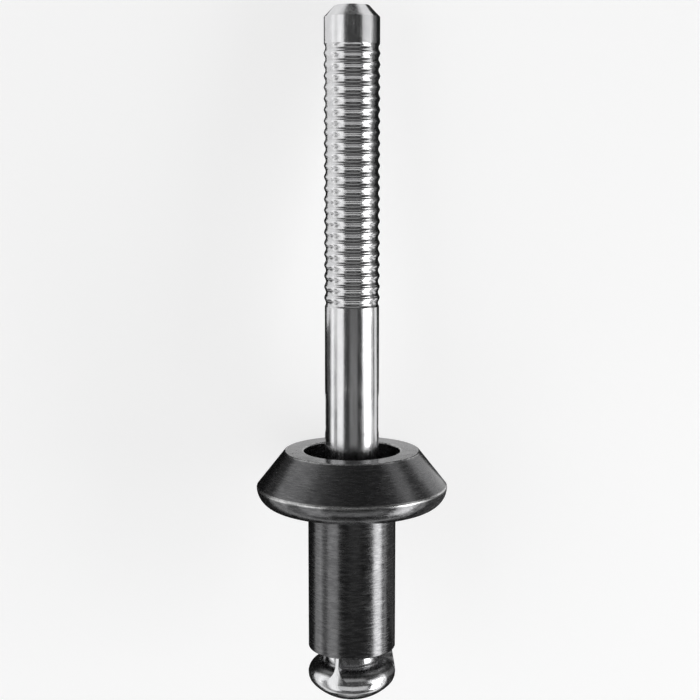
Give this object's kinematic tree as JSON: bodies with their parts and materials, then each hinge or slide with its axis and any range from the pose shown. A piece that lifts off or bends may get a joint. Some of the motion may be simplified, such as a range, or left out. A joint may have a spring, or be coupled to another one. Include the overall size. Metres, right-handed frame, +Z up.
{
  "type": "pop rivet",
  "caption": "Unset structural pop rivet: black tubular sleeve with a cone flange and a recessed top, on a bright pull mandrel with ring grooves and a scooped, ribbed head.",
  "frame": {"origin": "on the plane the rivet lies on, under the middle of its box", "axes": "+Y along the rivet towards the stem tip (the rivet's axis dips about 9 degrees towards the tip), +Z up, +X to the right when looking along +Y"},
  "size_m": [0.0138, 0.05, 0.0138],
  "materials": {
    "sleeve_black": "satin black coating on turned steel",
    "mandrel_steel": "bright plated steel, fine drawing marks"
  },
  "bodies": {
    "root": {"rivet_body": "sleeve_black", "mandrel": "mandrel_steel"}
  },
  "joints": []
}
